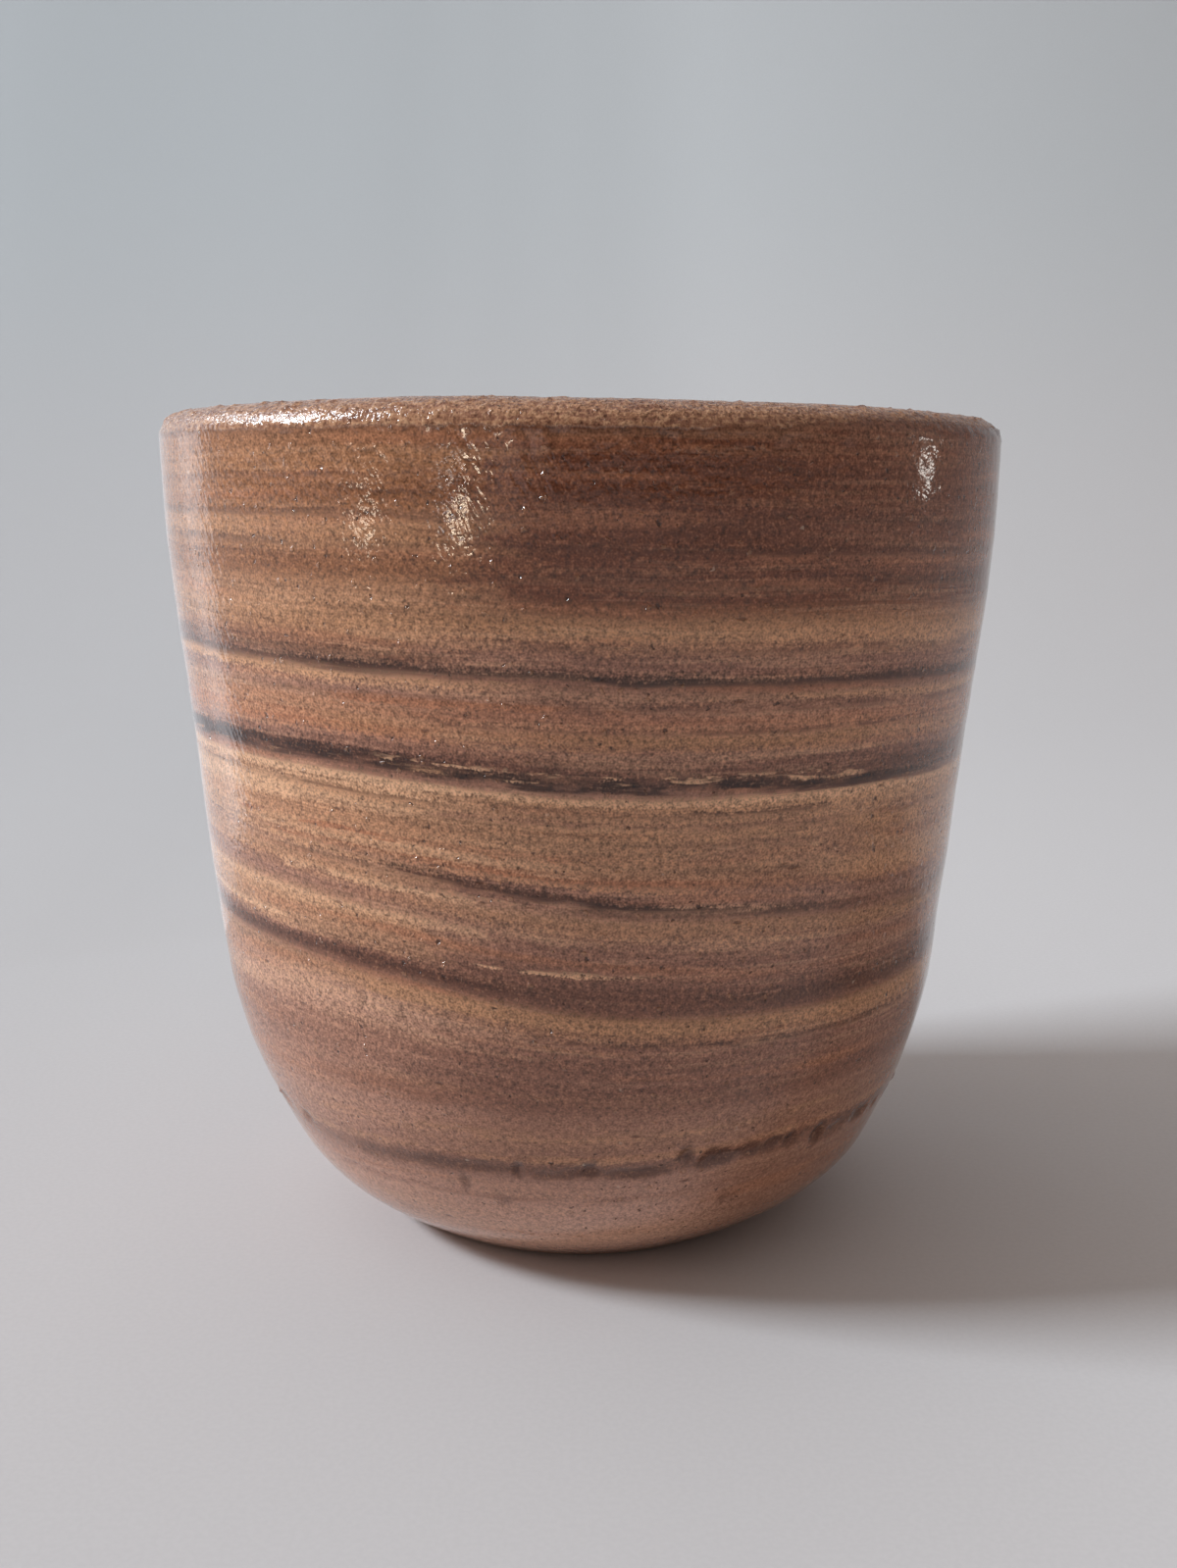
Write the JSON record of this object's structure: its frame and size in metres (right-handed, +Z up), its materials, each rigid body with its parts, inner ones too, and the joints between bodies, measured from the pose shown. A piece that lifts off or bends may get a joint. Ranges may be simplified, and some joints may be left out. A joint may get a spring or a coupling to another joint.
{
  "type": "handleless mug",
  "caption": "Handleless drinking mug of marbled stoneware: a round-bellied cup that opens slightly to a bevelled lip and stands on a small trimmed foot.",
  "frame": {"origin": "centre of the foot ring, on the plane the mug stands on", "axes": "+Z up along the turning axis; -Y is the side the picture shows"},
  "size_m": [0.088, 0.088, 0.087],
  "materials": {
    "glazed_clay": "satin clear glaze over coarse marbled clay in brown, terracotta, cream and umber bands"
  },
  "bodies": {
    "root": {"cup_body": "glazed_clay"}
  },
  "joints": []
}
